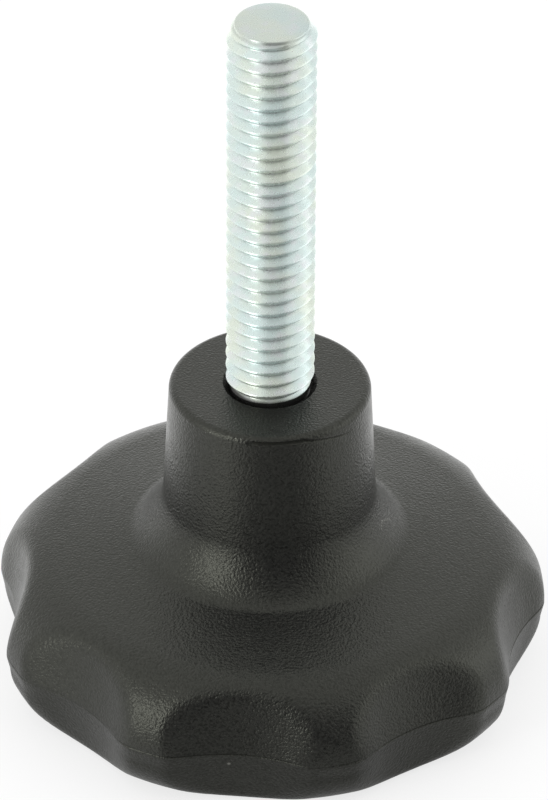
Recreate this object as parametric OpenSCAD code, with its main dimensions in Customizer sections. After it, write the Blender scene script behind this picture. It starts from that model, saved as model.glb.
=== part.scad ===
// Star knob bolt: a fluted plastic hand knob moulded round the head of a threaded steel stud.
// It stands on its crown with the stud pointing up. The origin is the middle of the crown,
// and +Z runs along the stud.

/* [Knob] */
// Diameter across the tips of the lobes
knob_d = 50; // [45:1:60]
// Height from the crown to the face of the hub
knob_h = 30; // [26:0.5:40]
// Height above the crown of the widest outline, where the moulding tool parts
parting_h = 5.8; // [5:0.1:8]
// Radius of the edge round the crown
crown_edge_r = 4.3; // [1:0.1:4.8]
// How far the wall under the parting line tapers in by its foot
crown_taper = 0.3; // [0:0.1:1]
// Radius of the shoulder that rises from the parting line to the top of the disc
shoulder_r = 6.75; // [4:0.25:7]
// Slope of the top of the disc, which rises from the shoulder to the hub, in degrees
top_slope = 9; // [0:0.5:12]
// Height of the straight land at the widest outline
rim_land = 0.4; // [0.1:0.1:1]

/* [Flutes] */
// Number of flutes round the rim, which is also the number of lobes
flutes = 9; // [5:1:10]
// Radius of a flute at the parting line
flute_r = 15.2; // [10:0.2:18]
// Depth of a flute at the parting line
flute_depth = 2; // [1:0.1:3]
// Draft angle of a flute above the parting line
flute_draft_up = 11.5; // [0:0.5:15]
// Draft angle of a flute below the parting line
flute_draft_down = 8; // [0:0.5:12]

/* [Hub] */
// Diameter of the hub at its face
hub_d = 18; // [17:0.1:22]
// How much the radius of the hub grows from its face down to the disc
hub_flare = 0.75; // [0:0.05:1]
// Radius of the edge round the face of the hub
hub_edge_r = 0.7; // [0.2:0.05:1.5]
// How far the fillet rises up the wall of the hub
fillet_rise = 4.4; // [2:0.1:8]
// How far the fillet reaches out over the disc
fillet_reach = 3; // [2:0.1:6]
// Fullness of the fillet, where 0.45 is round and 1 is a flat bevel
fillet_fullness = 0.6; // [0.4:0.05:0.9]

/* [Stud] */
// Outside diameter of the thread, for a nominal 8
thread_d = 7.9; // [7:0.1:10]
// Pitch of the thread
thread_pitch = 1.25; // [1:0.25:1.75]
// Length of stud that stands out of the hub
thread_l = 37.5; // [10:0.5:80]
// Height of the 45 degree chamfer at the free end
end_chamfer = 0.75; // [0.2:0.05:1.5]
// Depth of full thread engagement between the face of the hub and the head
buried_l = 12.5; // [8:0.5:14]
// Size of the hexagonal head across its flats
head_af = 13; // [10:0.5:14]
// Height of the head
head_h = 5.3; // [3:0.1:8]
// How much thinner the buried stud is in radius, where plastic fills the thread to its pitch line
pitch_line_inset = 0.35; // [0.2:0.05:0.6]
// Depth of the countersink round the stud in the face of the hub
countersink = 0.6; // [0.4:0.05:1]

/* [Hidden] */
$fn = 96;

// length by which a cutter runs past the face that it opens
clear = 1;

knob_r = knob_d / 2;
wall_foot_r = knob_r - crown_taper;
crown_flat_r = wall_foot_r - crown_edge_r;
shoulder_foot = parting_h + rim_land / 2;
shoulder_axis = knob_r - shoulder_r;
// where the shoulder runs into the sloping top of the disc
shoulder_end = [shoulder_axis + shoulder_r * sin(top_slope), shoulder_foot + shoulder_r * cos(top_slope)];

hub_r = hub_d / 2;
hub_wall_top = [hub_r, knob_h - hub_edge_r];
// where the wall of the hub would meet the sloping top of the disc, and how far the fillet runs from there
hub_corner = [hub_r + hub_flare, top_height(hub_r + hub_flare)];
fillet_out = fillet_reach * [cos(top_slope), -sin(top_slope)];
fillet_up = fillet_rise * (hub_wall_top - hub_corner) / norm(hub_wall_top - hub_corner);
fillet_steps = 12;

flute_axis = knob_r - flute_depth + flute_r;
// half of the widest that a cutter may be without meeting the next one
flute_reach = (knob_r + clear) * sin(0.45 * 360 / flutes);

thread_r = thread_d / 2;
// 60 degree thread, with a flat crest an eighth of the pitch wide and a plain root
crest_land = thread_pitch / 8;
thread_depth = 0.52 * thread_pitch;
root_r = thread_r - thread_depth;
flank = thread_depth * tan(30);
buried_r = thread_r - pitch_line_inset;
head_top = knob_h - buried_l;
head_bottom = head_top - head_h;
stud_end = knob_h + thread_l;
// whole grooves that fit between the face of the hub and the chamfer, with a full crest above the last one
grooves = floor((thread_l - end_chamfer - crest_land) / thread_pitch);

// Height of the sloping top of the disc at a given radius
function top_height(r) = shoulder_end[1] + (shoulder_end[0] - r) * tan(top_slope);

// Point of the fillet, a cubic curve that leaves the disc at 0 and runs into the wall of the hub at 1
function fillet_point(t) =
    hub_corner
    + fillet_out * (pow(1 - t, 3) + 3 * fillet_fullness * t * pow(1 - t, 2))
    + fillet_up * (pow(t, 3) + 3 * fillet_fullness * pow(t, 2) * (1 - t));

// Quarter of a disc, for a rounded edge
module quarter_disc(r) {
    intersection() {
        circle(r);
        square(r);
    }
}

// Disc: flat crown, rounded crown edge, tapered wall, parting line, shoulder and sloping top
module disc_section() {
    polygon([
        [0, 0],
        [crown_flat_r, 0],
        [wall_foot_r, crown_edge_r],
        [knob_r, parting_h - rim_land / 2],
        [knob_r, shoulder_foot],
        shoulder_end,
        [0, top_height(0)]
    ]);
    translate([crown_flat_r, crown_edge_r]) mirror([0, 1]) quarter_disc(crown_edge_r);
    translate([shoulder_axis, shoulder_foot]) quarter_disc(shoulder_r);
}

// Hub: fillet off the disc, tapered wall and rounded edge at its face
module hub_section() {
    polygon(concat(
        [[0, 0], [fillet_point(0)[0], 0]],
        [for (i = [0 : fillet_steps]) fillet_point(i / fillet_steps)],
        [hub_wall_top, [hub_r - hub_edge_r, knob_h], [0, knob_h]]
    ));
    translate([hub_r - hub_edge_r, knob_h - hub_edge_r]) quarter_disc(hub_edge_r);
}

// Cutter for one flute: two cones base to base at the parting line, so that both halves of the tool draw.
// A block keeps the part of them that meets the rim, clear of the flutes on either side.
module flute_cutter() {
    up = shoulder_end[1] - parting_h + clear;
    down = parting_h + clear;
    intersection() {
        translate([0, -flute_axis, parting_h]) {
            cylinder(h = up, r1 = flute_r, r2 = flute_r + up * tan(flute_draft_up));
            mirror([0, 0, 1]) cylinder(h = down, r1 = flute_r, r2 = flute_r + down * tan(flute_draft_down));
        }
        translate([-flute_reach, -knob_r - clear, -clear])
            cube([2 * flute_reach, knob_r, clear + parting_h + up]);
    }
}

// Hexagonal head under the plastic, which stops the stud turning or pulling out
module head() {
    translate([0, 0, head_bottom]) rotate(30) cylinder(h = head_h, d = head_af / cos(30), $fn = 6);
}

// Space that the stud leaves in the knob, with the countersink at its mouth
module socket() {
    translate([0, 0, head_bottom]) cylinder(h = knob_h - head_bottom, r = buried_r);
    head();
    translate([0, 0, knob_h - countersink])
        cylinder(h = countersink + clear, r1 = buried_r, r2 = buried_r + countersink + clear);
}

// The knob, moulded in one piece round the head of the stud
module knob() {
    color("#2c2d2a")
        difference() {
            rotate_extrude() {
                disc_section();
                hub_section();
            }
            for (i = [0 : flutes - 1]) rotate(i * 360 / flutes) flute_cutter();
            socket();
        }
}

// Points of one groove of the thread, from the crest below it at height z
function groove(z) = [
    [thread_r, z],
    [thread_r, z + crest_land],
    [root_r, z + crest_land + flank],
    [root_r, z + thread_pitch - flank]
];

// The stud, one piece of steel: buried length, threaded length with a chamfered end, and the head.
// Plain rings, a pitch apart, stand for the turns of the thread.
module stud() {
    color("#c9d0ce") {
        rotate_extrude()
            polygon(concat(
                [[0, head_bottom], [buried_r, head_bottom], [buried_r, knob_h]],
                [for (i = [0 : grooves - 1]) each groove(knob_h + i * thread_pitch)],
                [
                    [thread_r, knob_h + grooves * thread_pitch],
                    [thread_r, stud_end - end_chamfer],
                    [thread_r - end_chamfer, stud_end],
                    [0, stud_end]
                ]
            ));
        head();
    }
}

knob();
stud();
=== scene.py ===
import math

import bmesh
import bpy
import numpy as np
from mathutils import Matrix, Vector


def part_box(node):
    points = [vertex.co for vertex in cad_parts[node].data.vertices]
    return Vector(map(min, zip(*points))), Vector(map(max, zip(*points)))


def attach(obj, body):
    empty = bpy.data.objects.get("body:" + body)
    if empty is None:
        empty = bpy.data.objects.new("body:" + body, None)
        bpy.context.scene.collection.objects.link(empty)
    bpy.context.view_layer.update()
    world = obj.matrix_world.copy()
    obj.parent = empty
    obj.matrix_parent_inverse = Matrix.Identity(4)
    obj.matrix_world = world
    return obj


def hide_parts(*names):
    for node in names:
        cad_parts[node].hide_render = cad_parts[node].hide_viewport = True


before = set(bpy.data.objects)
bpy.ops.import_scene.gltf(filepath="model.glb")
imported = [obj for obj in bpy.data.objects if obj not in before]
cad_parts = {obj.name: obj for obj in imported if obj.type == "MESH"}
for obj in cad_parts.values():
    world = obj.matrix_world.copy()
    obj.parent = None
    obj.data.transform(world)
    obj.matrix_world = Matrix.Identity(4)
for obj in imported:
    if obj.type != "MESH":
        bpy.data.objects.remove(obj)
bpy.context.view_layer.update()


# ---------------------------------------------------------------------------
# Knob. One moulding in black glass filled nylon, shot round the head of the stud: a flat crown, a disc
# with nine lobes, a broad fillet and a tapered hub. The two halves of the tool part at the widest outline,
# which leaves a fine groove there, coloured darker as painted shade, and its walls are spark eroded to a
# matt grain.

# sizes
MM = 0.001
knob_low, knob_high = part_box("knob")
knob_r = knob_high.y
hub_face_z = knob_high.z

flute_count = 9
segments_per_flute = 60
crown_edge_r = 4.3 * MM
crown_taper = 0.3 * MM
rim_land = 0.4 * MM
parting_z = 5.8 * MM
shoulder_r = 6.75 * MM
flute_r = 15.2 * MM
flute_depth = 2.0 * MM
flute_draft_up = math.radians(11.5)
flute_draft_down = math.radians(8.0)
flute_edge_blend = 1.0 * MM
hub_r = 9.0 * MM
hub_flare = 0.75 * MM
hub_edge_r = 0.7 * MM
fillet_rise = 4.4 * MM
fillet_reach = 3.0 * MM
fillet_fullness = 0.6
top_slope = math.radians(9)
countersink = 0.6 * MM
socket_r = 3.6 * MM
head_af = 13.0 * MM
head_top_z = 17.5 * MM
head_bottom_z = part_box("stud")[0].z
seam_half = 0.10 * MM
seam_depth = 0.13 * MM
# the step under the hub's face is meshed finely over this height below the rounded edge
fine_h = 0.9 * MM
step_depth = 0.26 * MM
step_steepness = 1.6
# depths under the face between which the step may lie, and the radius that it stays outside of
step_band_top, step_band_foot = 0.1 * MM, 1.7 * MM
step_band_r = hub_r - hub_edge_r + 0.1 * MM

# colours
nylon_bluish = (0.0082, 0.0082, 0.0090)
nylon_warm = (0.0102, 0.0102, 0.0100)
# painted light and shade of the grain: its peaks paler as painted glints, its pits darker as painted shade
grain_peak_glint_grey = (0.032, 0.032, 0.029)
grain_pit_shade_black = (0.001, 0.001, 0.001)
fibre_grey = (0.06, 0.06, 0.055)
scuff_grey = (0.11, 0.11, 0.10)
# painted shade, laid in the parting line's groove, the step under the hub's face and a small pit
seam_shade_black = (0.003, 0.003, 0.003)
gloss_olive = (0.97, 1.0, 0.84, 1)

# finish: waves of the eroded grain to a millimetre, its depth, the depth of the waviness under it, and the
# roughness of the skin, of rubbed tips and of the parting line
grain_waves = 4.5
grain_depth = 0.065 * MM
waviness_depth = 0.02 * MM
skin_roughness = (0.27, 0.33)
rubbed_smoother = 0.03
rubbed_width = 0.7 * MM
seam_roughness = 0.8


def softer_min(a, b, blend):
    """The lower of two values, with the corner between them rounded off over the blend length."""
    h = np.clip(0.5 + 0.5 * (b - a) / blend, 0.0, 1.0)
    return b * (1 - h) + a * h - blend * h * (1 - h)


def arc(cx, cz, r, start, end, steps):
    """Points of an arc in the section plane, from start to end in degrees, without the first one."""
    turns = np.radians(np.linspace(start, end, steps + 1)[1:])
    return [(cx + r * math.cos(t), cz + r * math.sin(t)) for t in turns]


def line(a, b, steps):
    """Points of a straight run in the section plane, without the first one."""
    shares = [k / steps for k in range(1, steps + 1)]
    return [(a[0] + (b[0] - a[0]) * share, a[1] + (b[1] - a[1]) * share) for share in shares]


def corner_curve(corner, out, up, fullness, steps):
    """Points of a cubic curve that fills a corner, from out to up, both measured from it. 0.45 is round."""
    t = np.linspace(0, 1, steps + 1)[:, None]
    from_out = (1 - t) ** 3 + 3 * fullness * t * (1 - t) ** 2
    from_up = t ** 3 + 3 * fullness * t ** 2 * (1 - t)
    return (np.array(corner) + np.array(out) * from_out + np.array(up) * from_up).tolist()


def mesh_object(name, points, faces):
    """A new piece with this mesh, linked to the scene."""
    mesh = bpy.data.meshes.new(name)
    mesh.from_pydata(points, [], faces)
    mesh.update()
    piece = bpy.data.objects.new(name, mesh)
    bpy.context.scene.collection.objects.link(piece)
    return piece


# section of the knob from the middle of the crown, over the rim and up the hub, then down the socket
crown_flat_r = knob_r - crown_taper - crown_edge_r
wall_foot = (knob_r - crown_taper, crown_edge_r)
wall_top = (knob_r, parting_z - rim_land / 2)
shoulder_foot = (knob_r, parting_z + rim_land / 2)
shoulder_end = (knob_r - shoulder_r * (1 - math.sin(top_slope)),
                shoulder_foot[1] + shoulder_r * math.cos(top_slope))
hub_corner_r = hub_r + hub_flare
hub_corner = (hub_corner_r, shoulder_end[1] + (shoulder_end[0] - hub_corner_r) * math.tan(top_slope))
hub_wall_top = (hub_r, hub_face_z - hub_edge_r)
hub_lean = math.atan(hub_flare / (hub_wall_top[1] - hub_corner[1]))
fillet_out = (fillet_reach * math.cos(top_slope), -fillet_reach * math.sin(top_slope))
fillet_up = (-fillet_rise * math.sin(hub_lean), fillet_rise * math.cos(hub_lean))
fillet = corner_curve(hub_corner, fillet_out, fillet_up, fillet_fullness, 22)
outside = line((0, 0), (crown_flat_r, 0), 6)
outside += arc(crown_flat_r, crown_edge_r, crown_edge_r, -90, 0, 18)
outside += line(wall_foot, wall_top, 4)
outside += [(knob_r, parting_z + k * seam_half) for k in (-1, -0.5, 0, 0.5, 1)]
outside += [shoulder_foot]
outside += arc(knob_r - shoulder_r, shoulder_foot[1], shoulder_r, 0, 90 - math.degrees(top_slope), 32)
rim_rings = len(outside)
outside += line(shoulder_end, fillet[0], 6)
outside += fillet[1:]
fine_foot = (hub_r + fine_h * math.tan(hub_lean), hub_wall_top[1] - fine_h)
outside += line(fillet[-1], fine_foot, 8)
outside += line(fine_foot, hub_wall_top, 15)
outside += arc(hub_r - hub_edge_r, hub_wall_top[1], hub_edge_r, 0, 90, 20)
outside += line((hub_r - hub_edge_r, hub_face_z), (socket_r + countersink, hub_face_z), 4)
outside += line((socket_r + countersink, hub_face_z), (socket_r, hub_face_z - countersink), 2)
outside += line((socket_r, hub_face_z - countersink), (socket_r, head_top_z), 4)

# a flute cuts each ring where its cutter is nearer to the axis than the turned outline is
segments = flute_count * segments_per_flute
turn = -np.pi / 2 + 2 * np.pi * np.arange(segments) / segments
pitch_angle = 2 * np.pi / flute_count
off_flute = (turn + np.pi / 2 + pitch_angle / 2) % pitch_angle - pitch_angle / 2
flute_axis = knob_r - flute_depth + flute_r
from_front = (turn + np.pi / 2 + np.pi) % (2 * np.pi) - np.pi
turned = np.degrees(from_front)
# the parting line comes and goes round the rim, and is faint on the side where the tool shut tightest
seam_strength = np.clip(0.75 + 0.2 * np.cos(flute_count * from_front) + 0.25 * np.sin(7 * turn + 1.0)
                        + 0.2 * np.sin(31 * turn + 0.5), 0.15, 1.0)
seam_strength *= np.interp(turned, [-180, -140, -100, -60, -35, -15, 180], [1, 1, 0.15, 0.3, 0.5, 1, 1])
# under the edge of the hub's face the insert that held the stud left a step, deep in front, that fades to
# one side
step_z = np.interp(turned, [26, 53], [hub_face_z - 0.5 * MM, hub_face_z - 1.4 * MM])
step_half = np.interp(turned, [20, 34], [0.21 * MM, 0.10 * MM])
step_strength = np.interp(turned, [-7, 0, 24, 34, 50, 60], [0, 1, 1, 0.45, 0.4, 0])
rings = []
seam_rings = []
for row, (r, z) in enumerate(outside):
    radius = np.full_like(turn, r)
    seam = np.zeros_like(turn)
    if z > 0 and row < rim_rings:
        draft = flute_draft_up if z > parting_z else flute_draft_down
        cut_r = flute_r + abs(z - parting_z) * math.tan(draft)
        half_chord = np.sqrt(cut_r ** 2 - (flute_axis * np.sin(off_flute)) ** 2)
        floor_r = flute_axis * np.cos(off_flute) - half_chord
        radius = softer_min(radius, floor_r, flute_edge_blend)
        seam = seam_strength * max(0.0, 1 - abs(z - parting_z) / seam_half)
        radius = radius - seam_depth * seam
    elif step_band_top < hub_face_z - z < step_band_foot and r > step_band_r:
        # full depth over the middle of the step, and a slope to each of its edges
        seam = step_strength * np.clip(step_steepness * (1 - np.abs(z - step_z) / step_half), 0, 1)
        radius = radius - step_depth * seam
    rings.append(np.stack([radius * np.cos(turn), radius * np.sin(turn), np.full_like(turn, z)], 1))
    seam_rings.append(seam)

# the hexagonal recess that the head of the stud fills, with a corner every sixth of a turn
corner_angle = np.pi / 3
off_flat = (turn + corner_angle / 2) % corner_angle - corner_angle / 2
hex_r = head_af / 2 / np.cos(off_flat)
for z in (head_top_z, head_bottom_z):
    rings.append(np.stack([hex_r * np.cos(turn), hex_r * np.sin(turn), np.full_like(turn, z)], 1))
    seam_rings.append(np.zeros_like(turn))

points = [(0, 0, 0)] + np.concatenate(rings).tolist() + [(0, 0, head_bottom_z)]
last = len(points) - 1
faces = [(0, 1 + (k + 1) % segments, 1 + k) for k in range(segments)]
for ring in range(len(rings) - 1):
    low, high = 1 + ring * segments, 1 + (ring + 1) * segments
    faces += [(low + k, low + (k + 1) % segments, high + (k + 1) % segments, high + k)
              for k in range(segments)]
foot = 1 + (len(rings) - 1) * segments
faces += [(last, foot + k, foot + (k + 1) % segments) for k in range(segments)]
knob = mesh_object("knob_moulding", points, faces)
knob.data.shade_smooth()
knob.data.set_sharp_from_angle(angle=math.radians(32))
# the seam mark follows the parting line's groove and the step under the hub's face, where shade is painted
seam_mark = knob.data.attributes.new("seam", "FLOAT", "POINT")
seam_mark.data.foreach_set("value", np.concatenate([[0.0]] + seam_rings + [[0.0]]))


def node(tree, kind, settings=None, links=None, **values):
    """Adds a node. settings are its options, links feed its inputs, and values set its inputs."""
    made = tree.nodes.new("ShaderNode" + kind)
    for name, value in (settings or {}).items():
        setattr(made, name, value)
    for name, source in (links or {}).items():
        tree.links.new(source, made.inputs[name])
    for name, value in values.items():
        made.inputs[name.replace("_", " ")].default_value = value
    return made


def math_node(tree, operation, a, b=0.0, clamp=False):
    """One sum. a and b are sockets or numbers."""
    made = node(tree, "Math", {"operation": operation, "use_clamp": clamp})
    for slot, value in ((0, a), (1, b)):
        if isinstance(value, (int, float)):
            made.inputs[slot].default_value = value
        else:
            tree.links.new(value, made.inputs[slot])
    return made.outputs[0]


def ramp(tree, value, low, high, at_low, at_high, smooth=False):
    """Goes from at_low to at_high as value goes from low to high, and stays level past both."""
    kind = {"interpolation_type": "SMOOTHSTEP" if smooth else "LINEAR"}
    made = node(tree, "MapRange", kind, {"Value": value},
                From_Min=low, From_Max=high, To_Min=at_low, To_Max=at_high)
    return made.outputs["Result"]


def mix_number(tree, factor, a, b):
    """a where the factor is 0, b where it is 1. Both are sockets or numbers."""
    made = node(tree, "Mix", {"data_type": "FLOAT"}, {0: factor})
    for slot, value in ((2, a), (3, b)):
        if isinstance(value, (int, float)):
            made.inputs[slot].default_value = value
        else:
            tree.links.new(value, made.inputs[slot])
    return made.outputs[0]


def mix_colour(tree, factor, a, b):
    """a where the factor is 0, b where it is 1. Both are sockets or colours."""
    made = node(tree, "Mix", {"data_type": "RGBA"}, {0: factor})
    for slot, value in ((6, a), (7, b)):
        if isinstance(value, tuple):
            made.inputs[slot].default_value = (*value, 1)
        else:
            tree.links.new(value, made.inputs[slot])
    return made.outputs[2]


def noise(tree, place, waves_per_mm, detail=2.0, roughness=0.5):
    """Even noise from 0 to 1, as fine as the number of waves to a millimetre."""
    return node(tree, "TexNoise", {}, {"Vector": place}, Scale=waves_per_mm / MM, Detail=detail,
                Roughness=roughness).outputs["Fac"]


def spot(tree, place, centre, inner, outer):
    """1 within the inner distance of a point of the piece, and 0 past the outer one."""
    away = node(tree, "VectorMath", {"operation": "DISTANCE"}, {0: place})
    away.inputs[1].default_value = centre
    return ramp(tree, away.outputs["Value"], inner, outer, 1.0, 0.0, True)


def axis_distance(tree, apart):
    """How far a place is from the axis of the stud, from its separated coordinates."""
    squares = [math_node(tree, "POWER", apart.outputs[side], 2.0) for side in ("X", "Y")]
    return math_node(tree, "SQRT", math_node(tree, "ADD", *squares))


def on_knob(r, z, azimuth):
    """A point of the knob by its radius, height and turn from -Y towards +X."""
    t = math.radians(azimuth)
    return (r * MM * math.sin(t), -r * MM * math.cos(t), z * MM)


nylon = bpy.data.materials.new("black_nylon")
nylon.use_nodes = True
tree = nylon.node_tree
shader = tree.nodes["Principled BSDF"]
place = node(tree, "TexCoord").outputs["Object"]
apart = node(tree, "SeparateXYZ", {}, {"Vector": place})
seam = node(tree, "Attribute", {"attribute_name": "seam"}).outputs["Fac"]

# colour: near black, a little warmer or bluer as the melt flowed, paler on the peaks of the grain as
# painted glints and darker in its pits as painted shade, with a few pale ends of glass fibre
flow = noise(tree, place, 0.16, 3.0)
fibre_cells = node(tree, "TexVoronoi", {}, {"Vector": place}, Scale=0.35 / MM)
nick = spot(tree, place, on_knob(22.9, 4.7, -2.8), 0.05 * MM, 0.22 * MM)
pit = spot(tree, place, on_knob(22.85, 4.3, 78.4), 0.12 * MM, 0.25 * MM)
# painted shade: the seam, the step and a small pit are coloured near black for the shade in them
seam_and_pit_shade = math_node(tree, "MAXIMUM", seam, pit)
# a scratch across the fillet and a few scuffs on the edge of the hub's face, each a row of small spots
fillet_r, fillet_z = np.array(fillet).T / MM
scratch_spots = [(15.97, 80.0, 0.04), (16.10, 81.6, 0.06), (16.21, 83.2, 0.06), (16.22, 84.8, 0.07),
                 (15.98, 87.0, 0.06), (15.78, 89.3, 0.07), (15.60, 91.2, 0.06), (15.42, 92.8, 0.07),
                 (14.81, 98.4, 0.04), (14.24, 102.0, 0.05)]
scratch = [(np.interp(z, fillet_z, fillet_r), z, azimuth, size) for z, azimuth, size in scratch_spots]
edge_scuffs = [(8.98, 29.35, -33, 0.03), (8.94, 29.55, -30, 0.03), (8.93, 29.55, -24, 0.02),
               (8.85, 29.68, -14, 0.03), (8.83, 29.70, -11, 0.04)]
light_mark = nick
for r, z, azimuth, size in scratch + edge_scuffs:
    rub = spot(tree, place, on_knob(r, z, azimuth), size * MM, 2.2 * size * MM)
    light_mark = math_node(tree, "MAXIMUM", light_mark, rub)
colour = mix_colour(tree, flow, nylon_bluish, nylon_warm)
grain = noise(tree, place, grain_waves, 1.0)
# painted glints on the grain's peaks and painted shade in its pits, from the same noise as its bump
colour = mix_colour(tree, ramp(tree, grain, 0.30, 0.72, 0.0, 0.35), colour, grain_peak_glint_grey)
colour = mix_colour(tree, ramp(tree, grain, 0.28, 0.5, 0.6, 0.0), colour, grain_pit_shade_black)
colour = mix_colour(tree, ramp(tree, fibre_cells.outputs["Distance"], 0.02, 0.035, 0.5, 0.0, True), colour,
                    fibre_grey)
colour = mix_colour(tree, light_mark, colour, scuff_grey)
# painted shade in the seam's groove, the step and the pit
colour = mix_colour(tree, seam_and_pit_shade, colour, seam_shade_black)
tree.links.new(colour, shader.inputs["Base Color"])

# gloss: matt, a little brighter where hands and other parts rub the tips of the lobes
patches = noise(tree, place, 0.9, 3.0)
roughness = ramp(tree, patches, 0.3, 0.7, *skin_roughness)
rubbed = ramp(tree, axis_distance(tree, apart), knob_r - rubbed_width, knob_r, 0.0, rubbed_smoother, True)
roughness = math_node(tree, "SUBTRACT", roughness, rubbed)
roughness = mix_number(tree, seam_and_pit_shade, roughness, seam_roughness)
tree.links.new(roughness, shader.inputs["Roughness"])

# grain: the spark eroded texture of the tool, over a faint waviness where thick plastic shrank
waviness = noise(tree, place, 0.25, 1.0)
coarse = node(tree, "Bump", {}, {"Height": waviness}, Strength=1.0, Distance=waviness_depth)
fine = node(tree, "Bump", {}, {"Height": grain, "Normal": coarse.outputs["Normal"]}, Strength=1.0,
            Distance=grain_depth)
tree.links.new(fine.outputs["Normal"], shader.inputs["Normal"])
shader.inputs["IOR"].default_value = 1.5
shader.inputs["Specular Tint"].default_value = gloss_olive
knob.data.materials.append(nylon)

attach(knob, "root")
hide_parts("knob")


# ---------------------------------------------------------------------------
# Stud. An M8 coarse screw, cold headed and thread rolled from steel rod, then zinc plated and clear
# passivated. It has a chamfered end with a low round point, and its shank and hexagonal head sit inside the
# knob, which is moulded round them.

# sizes
stud_end_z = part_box("stud")[1].z
thread_pitch = 1.25 * MM
crest_r = 3.95 * MM
root_r = 3.36 * MM
flank_angle = math.radians(43)
crest_half = 0.02 * MM
crest_blend = 0.08 * MM
root_blend = 0.05 * MM
end_chamfer = 0.67 * MM
point_h = 0.34 * MM
point_r = 3.27 * MM
chamfer_blend = 0.08 * MM
end_round = 0.17 * MM
thread_segments = 96
# distances from the middle of a crest at which the mesh has a row of points, in mm
crest_rows = (0, 0.03, 0.06, 0.10, 0.31, 0.52, 0.55, 0.58, 0.61)
crest_start_z = hub_face_z + 2.3 * MM
# where the foot of the thread begins to narrow into its countersink
foot_z = hub_face_z + 0.20 * MM
# the thread's turns are counted from the side that the viewer sees
camera_azimuth = math.radians(5.8)
fit_gap = 0.02 * MM

# colours
zinc_green = (0.67, 0.785, 0.765)
zinc_straw = (0.74, 0.80, 0.705)
zinc_blue = (0.76, 0.79, 0.80)
# painted shade: in the thread's root, and at the foot of the stud in its countersink
root_shade_grey = (0.20, 0.22, 0.21)
foot_shade_black = (0.055, 0.055, 0.052)

# finish: roughness where the plating is clear and where it is cloudy, the depth of its crystals and of the
# lines that the rolls drew, and how far its gloss is that of bare metal
plating_roughness = (0.23, 0.33)
crystal_depth = 0.003 * MM
drag_depth = 0.004 * MM
metal_share = 0.71
# how much of the painted shade in the thread's root is laid on
root_shade_share = 0.27


def thread_r(from_crest):
    """Radius of the rolled thread, by the distance along the axis from the middle of a crest."""
    flank = crest_r - (np.abs(from_crest) - crest_half) / math.tan(flank_angle)
    crest = softer_min(np.full_like(flank, crest_r), flank, crest_blend)
    return -softer_min(-crest, np.full_like(flank, -root_r), root_blend)


# the thread is swept along its helix past both ends, and cut off square at each
front = -np.pi / 2 + camera_azimuth
thread_low_z = hub_face_z - countersink
chamfer_top_z = stud_end_z - point_h
shank_r = socket_r - fit_gap
turns_below = math.ceil((crest_start_z - thread_low_z) / thread_pitch) + 1
turns_above = math.ceil((stud_end_z - crest_start_z) / thread_pitch) + 1
steps = np.arange((turns_below + turns_above) * thread_segments + 1)
helix_angle = front + (steps - turns_below * thread_segments) * 2 * np.pi / thread_segments
helix_z = crest_start_z + (helix_angle - front) / (2 * np.pi) * thread_pitch
above = np.array(crest_rows) * MM
from_crest = np.concatenate([[-thread_pitch / 2], -above[:0:-1], above])
rows = len(from_crest)
z = helix_z[:, None] + from_crest[None, :]
r = np.broadcast_to(thread_r(from_crest)[None, :], z.shape)
r = softer_min(r, crest_r - end_chamfer + (chamfer_top_z - z), chamfer_blend)
r = np.minimum(r, shank_r + np.maximum(z - foot_z, 0))
angle = helix_angle[:, None]
points = np.stack([r * np.cos(angle), r * np.sin(angle), z], 2).reshape(-1, 3).tolist()
faces = []
for i in range(len(steps) - 1):
    for j in range(rows - 1):
        p = i * rows + j
        faces.append((p, p + rows, p + rows + 1, p + 1))
    if i + 1 + thread_segments < len(steps):
        p = i * rows + rows - 1
        q = (i + thread_segments) * rows
        faces.append((p, p + rows, q + rows, q))
stud = mesh_object("threaded_stud", points, faces)
shape = bmesh.new()
shape.from_mesh(stud.data)
for cut_z, side in ((thread_low_z, -1), (chamfer_top_z, 1)):
    everything = shape.verts[:] + shape.edges[:] + shape.faces[:]
    bmesh.ops.bisect_plane(shape, geom=everything, dist=1e-8, plane_co=(0, 0, cut_z), plane_no=(0, 0, side),
                           clear_outer=True)


def rim_at(z):
    """The open edges at a height."""
    return [e for e in shape.edges if e.is_boundary and all(abs(v.co.z - z) < 1e-6 for v in e.verts)]


def draw_out(edges, ring_r, z):
    """Carries a rim on to a new ring. ring_r gives a point's radius there from its angle."""
    made = bmesh.ops.extrude_edge_only(shape, edges=edges)["geom"]
    for v in (g for g in made if isinstance(g, bmesh.types.BMVert)):
        angle = math.atan2(v.co.y, v.co.x)
        v.co = (ring_r(angle) * math.cos(angle), ring_r(angle) * math.sin(angle), z)
    return [g for g in made if isinstance(g, bmesh.types.BMEdge) and g.is_boundary]


# free end: above the chamfer stands a low round point, with a small round on to its flat face
rim = draw_out(rim_at(chamfer_top_z), lambda angle: point_r, chamfer_top_z + 0.01 * MM)
for t in np.radians((0, 30, 60, 90)):
    rim = draw_out(rim, lambda angle: point_r - end_round * (1 - math.cos(t)),
                   stud_end_z - end_round * (1 - math.sin(t)))
for share in (0.6, 0.2):
    rim = draw_out(rim, lambda angle: share * (point_r - end_round), stud_end_z)
bmesh.ops.holes_fill(shape, edges=rim, sides=0)

# shank and head inside the knob
head_flat_r = head_af / 2 - fit_gap


def hexagon_r(angle):
    """Radius of the hexagonal head at an angle."""
    off = (angle + corner_angle / 2) % corner_angle - corner_angle / 2
    return head_flat_r / math.cos(off)


rim = rim_at(thread_low_z)
rim = draw_out(rim, lambda angle: shank_r, thread_low_z - 0.05 * MM)
rim = draw_out(rim, lambda angle: shank_r, head_top_z - fit_gap)
rim = draw_out(rim, hexagon_r, head_top_z - fit_gap)
rim = draw_out(rim, hexagon_r, head_bottom_z)
bmesh.ops.holes_fill(shape, edges=rim, sides=0)
bmesh.ops.recalc_face_normals(shape, faces=shape.faces)
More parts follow.
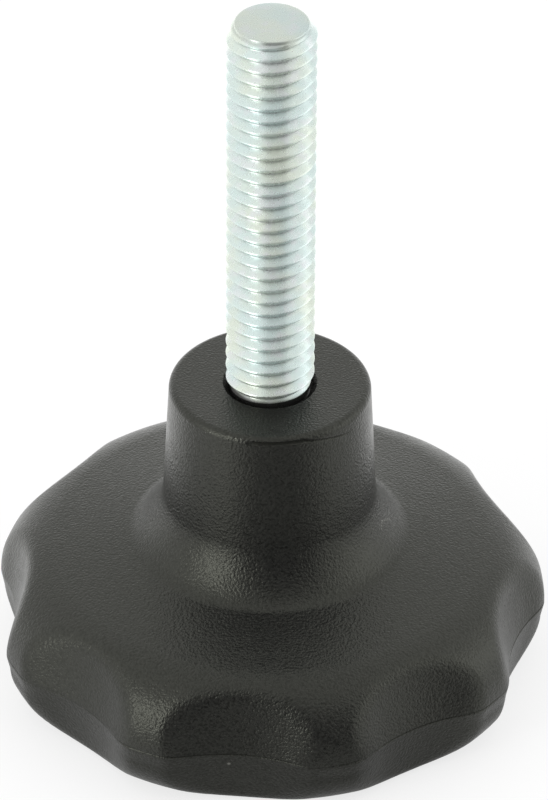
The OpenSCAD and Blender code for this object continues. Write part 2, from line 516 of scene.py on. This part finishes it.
# the drawn out faces are made in no fixed order, so they are sorted by their points: the same mesh each run
shape.verts.index_update()
by_points = sorted(shape.faces, key=lambda f: sorted(v.index for v in f.verts))
for index, f in enumerate(by_points):
    f.index = index
shape.faces.sort()
shape.to_mesh(stud.data)
shape.free()
stud.data.shade_smooth()
stud.data.set_sharp_from_angle(angle=math.radians(38))

zinc = bpy.data.materials.new("zinc_plate")
zinc.use_nodes = True
tree = zinc.node_tree
shader = tree.nodes["Principled BSDF"]
place = node(tree, "TexCoord").outputs["Object"]

# colour: pale zinc, with the faint blue, green and straw tints of a clear passivation film
film = noise(tree, place, 0.22, 3.0)
patch = noise(tree, place, 0.7, 2.0)
colour = mix_colour(tree, ramp(tree, film, 0.35, 0.65, 0.0, 1.0, True), zinc_green, zinc_straw)
colour = mix_colour(tree, ramp(tree, patch, 0.5, 0.7, 0.0, 0.7, True), colour, zinc_blue)
# painted shade: the thread is coloured darker down in its root, for the shade in the groove
apart = node(tree, "SeparateXYZ", {}, {"Vector": place})
root_shade = ramp(tree, axis_distance(tree, apart), root_r + 0.01 * MM, root_r + 0.10 * MM, root_shade_share, 0.0)
colour = mix_colour(tree, root_shade, colour, root_shade_grey)
# painted shade: the foot of the last turn is coloured near black, with a ragged top, for the shade in the
# countersink round it
ragged = math_node(tree, "ADD", apart.outputs["Z"], math_node(tree, "MULTIPLY", patch, 0.16 * MM))
foot_shade = ramp(tree, ragged, hub_face_z + 0.10 * MM, hub_face_z + 0.50 * MM, 1.0, 0.0, True)
colour = mix_colour(tree, foot_shade, colour, foot_shade_black)
tree.links.new(colour, shader.inputs["Base Color"])

# gloss: bright where the rolls pressed it, duller in cloudy patches
cloud = noise(tree, place, 1.6, 3.0)
tree.links.new(ramp(tree, cloud, 0.3, 0.7, *plating_roughness), shader.inputs["Roughness"])

# surface: fine crystals of plating, and drag lines that the rolls left along the thread
crystals = noise(tree, place, 6.0, 2.0, 0.6)
drag_place = node(tree, "Mapping", {}, {"Vector": place})
drag_place.inputs["Scale"].default_value = (0.15, 0.15, 1.0)
drag = noise(tree, drag_place.outputs["Vector"], 9.0, 2.0)
coarse = node(tree, "Bump", {}, {"Height": drag}, Strength=1.0, Distance=drag_depth)
fine = node(tree, "Bump", {}, {"Height": crystals, "Normal": coarse.outputs["Normal"]}, Strength=1.0,
            Distance=crystal_depth)
tree.links.new(fine.outputs["Normal"], shader.inputs["Normal"])
shader.inputs["Metallic"].default_value = metal_share
stud.data.materials.append(zinc)

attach(stud, "root")
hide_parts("stud")


# ---------------------------------------------------------------------------
# Floor. A wide sheet of white paper that the knob stands on. It shows as white all round and keeps the
# knob's shadow. What mirrors see of it is a glowing painted reflection: darker close to the knob as a
# painted shadow, and toward the person at the front, brighter behind, and with a painted sheen under the
# window.

floor_half = 3.0
corners = [(-floor_half, -floor_half, knob_low.z), (floor_half, -floor_half, knob_low.z),
           (floor_half, floor_half, knob_low.z), (-floor_half, floor_half, knob_low.z)]
floor = mesh_object("white_floor", corners, [(0, 1, 2, 3)])

# the front of the room is dark within the inner angle of its middle, and light past the outer one
dark_azimuth = camera_azimuth + math.radians(10)
dark_inner = math.radians(27)
dark_outer = math.radians(46)
window_turn = -50
window_azimuth = camera_azimuth + math.radians(window_turn)
paper_white = (0.93, 0.93, 0.93, 1)
# share of white that the camera sees over the paper's own light, which leaves a faint shadow
glow_share = 0.75
# how bright a mirror sees the floor on the dark front, at the sides and behind; near the knob as a painted
# shadow
near_front, near_side, near_behind = 0.44, 0.62, 0.90
far_front, farthest_front, far_side, far_behind = 0.36, 0.10, 0.90, 1.30
near_sheen, far_sheen = 0.1, 0.5


def turned_from(tree, apart, azimuth):
    """How far a place is turned away from an azimuth, in radians, from its separated coordinates."""
    toward_front = math_node(tree, "MULTIPLY", apart.outputs["Y"], -1.0)
    turn = math_node(tree, "ARCTAN2", apart.outputs["X"], toward_front)
    return math_node(tree, "ABSOLUTE", math_node(tree, "SUBTRACT", turn, azimuth))


def mirror_rays(tree):
    """1 for rays that a mirror or clear piece sends on."""
    path = node(tree, "LightPath")
    return math_node(tree, "ADD", path.outputs["Is Glossy Ray"], path.outputs["Is Transmission Ray"], True)


paper = bpy.data.materials.new("white_paper")
paper.use_nodes = True
tree = paper.node_tree
shader = tree.nodes["Principled BSDF"]
shader.inputs["Base Color"].default_value = paper_white
shader.inputs["Roughness"].default_value = 0.9
shader.inputs["Specular IOR Level"].default_value = 0.0
apart = node(tree, "SeparateXYZ", {}, {"Vector": node(tree, "NewGeometry").outputs["Position"]})
off_dark = turned_from(tree, apart, dark_azimuth)
side = ramp(tree, off_dark, dark_inner, dark_outer, 0.0, 1.0, True)
behind = ramp(tree, off_dark, math.radians(98), math.radians(128), 0.0, 1.0, True)
away = axis_distance(tree, apart)
off_window = turned_from(tree, apart, window_azimuth)
# painted light: a sheen on the floor under the window, seen by mirrors only
sheen = math_node(tree, "MULTIPLY", ramp(tree, away, 45 * MM, 90 * MM, near_sheen, far_sheen),
                  ramp(tree, off_window, math.radians(9), math.radians(20), 1.0, 0.0, True))
front_level = ramp(tree, away, 42 * MM, 120 * MM, far_front, farthest_front)
far_level = mix_number(tree, side, front_level, mix_number(tree, behind, far_side, far_behind))
# painted shadow: close to the knob, mirrors see the floor dimmer
painted_shadow_level = mix_number(tree, side, near_front, mix_number(tree, behind, near_side, near_behind))
shadow_to_far = ramp(tree, away, 26 * MM, 35 * MM, 0.0, 1.0, True)
level = mix_number(tree, shadow_to_far, painted_shadow_level, math_node(tree, "ADD", far_level, sheen))
# painted reflection: mirrors see a glow at these levels, not the lit paper
painted_reflection = node(tree, "Emission", {}, {"Color": level}, Strength=1.0).outputs["Emission"]
glow = node(tree, "Emission", Strength=1.0).outputs["Emission"]
share = math_node(tree, "MULTIPLY", node(tree, "LightPath").outputs["Is Camera Ray"], glow_share)
seen = node(tree, "MixShader", {}, {0: share, 1: shader.outputs["BSDF"], 2: glow}).outputs["Shader"]
surface = node(tree, "MixShader", {}, {0: mirror_rays(tree), 1: seen, 2: painted_reflection}).outputs["Shader"]
tree.links.new(surface, tree.nodes["Material Output"].inputs["Surface"])
floor.data.materials.append(paper)


# ---------------------------------------------------------------------------
# Studio light. A white room that is darker in front, where a person stands, with a tall window to the left
# of them and a soft box on either side and behind. The room dims toward the middle of its ceiling.

def soft_box(name, azimuth, elevation, distance, width, height, brightness):
    """A rectangular lamp aimed at the hub, as bright in a mirror as its brightness, with 1 as white."""
    lamp = bpy.data.lights.new(name, "AREA")
    lamp.shape = "RECTANGLE"
    lamp.size, lamp.size_y = width, height
    lamp.energy = brightness * math.pi * width * height
    holder = bpy.data.objects.new(name, lamp)
    bpy.context.scene.collection.objects.link(holder)
    a, e = math.radians(azimuth) + camera_azimuth, math.radians(elevation)
    back = Vector((math.sin(a) * math.cos(e), -math.cos(a) * math.cos(e), math.sin(e)))
    holder.location = back * distance + Vector((0, 0, hub_face_z))
    holder.rotation_mode = "QUATERNION"
    holder.rotation_quaternion = back.to_track_quat("Z", "Y")


soft_box("left_soft_box", -86, 12, 0.75, 0.52, 0.52, 0.14)
soft_box("right_soft_box", 92, 14, 0.75, 0.56, 0.52, 0.70)
soft_box("back_soft_box", 180, 8, 0.80, 0.50, 0.24, 0.50)
soft_box("tall_window", window_turn, 12, 0.80, 0.25, 0.64, 3.9)

# how bright the room is: its dark front low down and high up, its walls low down and high up, what is lost
# toward the middle of the ceiling, and the light that it throws over what a mirror shows of it
front_low, front_high = 0.04, 0.80
wall_low, wall_high = 0.93, 1.00
ceiling_loss = -0.36
room_strength = 1.35
world = bpy.data.worlds.new("white_room")
bpy.context.scene.world = world
world.use_nodes = True
tree = world.node_tree
room = tree.nodes["Background"]
heading = node(tree, "SeparateXYZ", {}, {"Vector": node(tree, "TexCoord").outputs["Generated"]})
side = ramp(tree, turned_from(tree, heading, dark_azimuth), dark_inner, dark_outer, 0.0, 1.0, True)
climb = math_node(tree, "ARCSINE", heading.outputs["Z"])
front_level = ramp(tree, climb, math.radians(15), math.radians(78), front_low, front_high)
wall_level = ramp(tree, climb, math.radians(30), math.radians(55), wall_low, wall_high, True)
ceiling_dim = ramp(tree, climb, math.radians(58), math.radians(85), 0.0, ceiling_loss, True)
level = mix_number(tree, side, front_level, math_node(tree, "ADD", wall_level, ceiling_dim))
tree.links.new(level, room.inputs["Color"])
room.inputs["Strength"].default_value = room_strength
mirror = node(tree, "Background", {}, {"Color": level}, Strength=1.0).outputs["Background"]
white = node(tree, "Background", Color=(1, 1, 1, 1), Strength=1.0).outputs["Background"]
to_camera = node(tree, "LightPath").outputs["Is Camera Ray"]
unseen = node(tree, "MixShader", {}, {0: mirror_rays(tree), 1: room.outputs["Background"], 2: mirror})
seen = node(tree, "MixShader", {}, {0: to_camera, 1: unseen.outputs["Shader"], 2: white})
tree.links.new(seen.outputs["Shader"], tree.nodes["World Output"].inputs["Surface"])


# ---------------------------------------------------------------------------
# Camera. A long lens that looks down on the knob from in front, a little to the right of one flute.

camera_elevation = math.radians(35.07)
camera_roll = math.radians(-0.34)
camera_distance = 0.622
aim_right = 0.362 * MM
aim_z = hub_face_z - 2.014 * MM
focal_length = 315
lens = bpy.data.cameras.new("camera")
lens.lens = focal_length
lens.sensor_width = 36
lens.sensor_fit = "AUTO"
lens.clip_start = 0.05
camera = bpy.data.objects.new("camera", lens)
bpy.context.scene.collection.objects.link(camera)
back = Vector((math.sin(camera_azimuth) * math.cos(camera_elevation),
               -math.cos(camera_azimuth) * math.cos(camera_elevation), math.sin(camera_elevation)))
right = Vector((math.cos(camera_azimuth), math.sin(camera_azimuth), 0))
up = back.cross(right)
turned_right = right * math.cos(camera_roll) - up * math.sin(camera_roll)
turned_up = right * math.sin(camera_roll) + up * math.cos(camera_roll)
stand = Vector((0, 0, aim_z)) + right * aim_right + back * camera_distance
facing = Matrix((turned_right, turned_up, back)).transposed().to_4x4()
camera.matrix_world = Matrix.Translation(stand) @ facing
bpy.context.scene.camera = camera

bpy.context.scene.view_settings.view_transform = "Standard"
